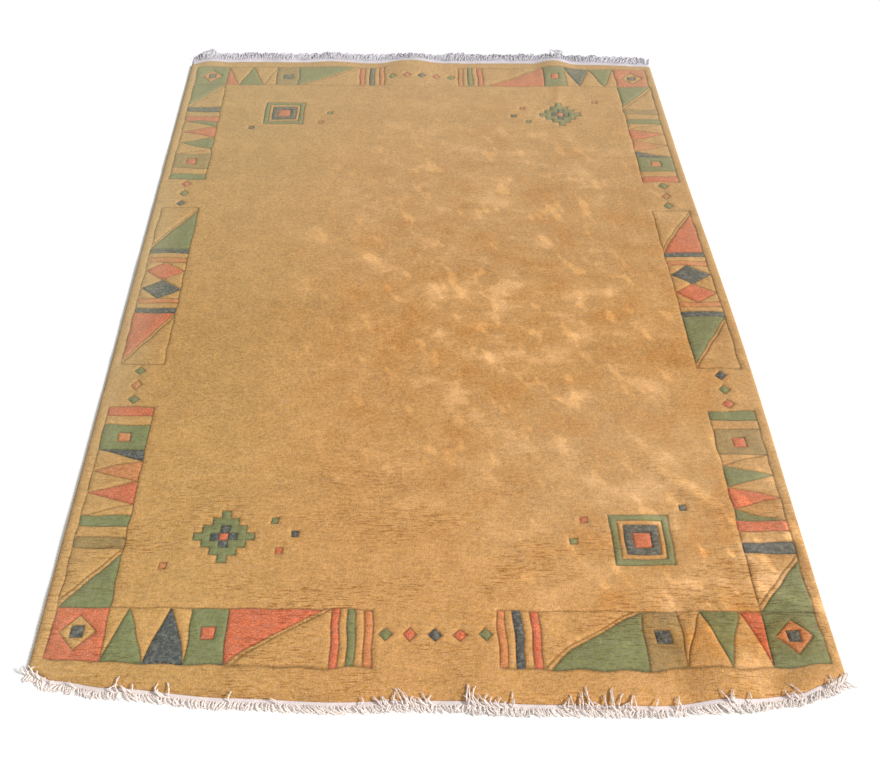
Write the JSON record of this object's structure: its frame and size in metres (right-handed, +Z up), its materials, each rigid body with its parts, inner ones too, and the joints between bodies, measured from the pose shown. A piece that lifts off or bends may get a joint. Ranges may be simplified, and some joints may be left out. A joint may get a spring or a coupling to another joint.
{
  "type": "nepalese rug",
  "caption": "Hand-knotted wool rug with a carved border, flat-woven cotton ends and a fringe at both ends.",
  "frame": {"origin": "on the floor, under the middle of the rug with its fringes", "axes": "+X across the rug, +Y along it towards the far end, +Z up from the floor"},
  "size_m": [1.714, 2.6116, 0.0277],
  "materials": {
    "wool_pile": "matte wool pile",
    "cotton_fringe": "matte cotton"
  },
  "bodies": {
    "root": {"rug": "wool_pile", "near_woven_end": "cotton_fringe", "far_woven_end": "cotton_fringe"}
  },
  "joints": []
}
